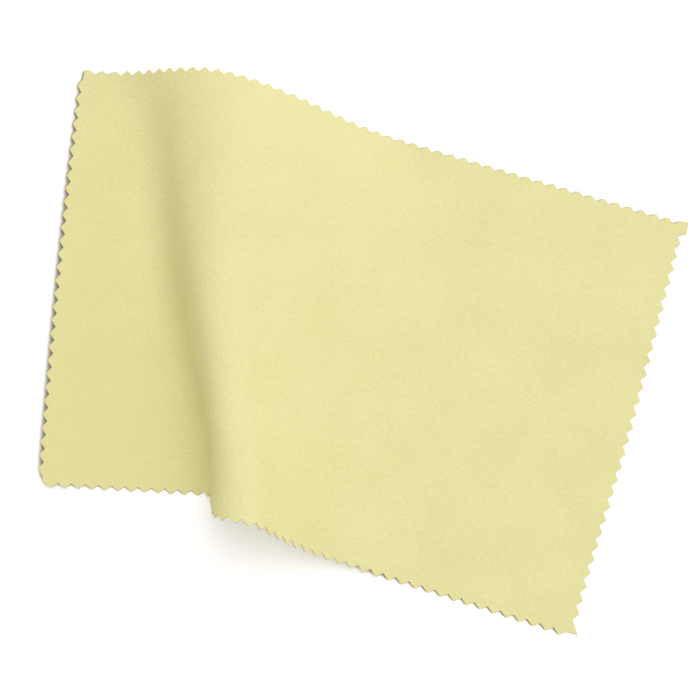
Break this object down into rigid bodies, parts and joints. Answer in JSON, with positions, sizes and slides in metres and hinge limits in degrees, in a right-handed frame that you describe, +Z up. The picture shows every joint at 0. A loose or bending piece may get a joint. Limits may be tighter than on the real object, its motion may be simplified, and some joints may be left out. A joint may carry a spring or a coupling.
{
  "type": "polishing cloth",
  "caption": "Rectangular napped flannel polishing cloth with zigzag-cut edges, laid flat with one raised fold across it.",
  "frame": {"origin": "on the table, below the middle of the laid cloth's bounding box", "axes": "+Z up from the table, +X along the cloth from its left edge to its right edge, +Y across it from its near edge, where the fold is tall, to its far edge, where the fold is low"},
  "size_m": [0.1958, 0.1722, 0.03],
  "materials": {
    "yellow_flannel": "pale yellow brushed cotton flannel, soft and matt, with a short nap on both faces"
  },
  "bodies": {
    "root": {"flannel_cloth": "yellow_flannel"}
  },
  "joints": []
}
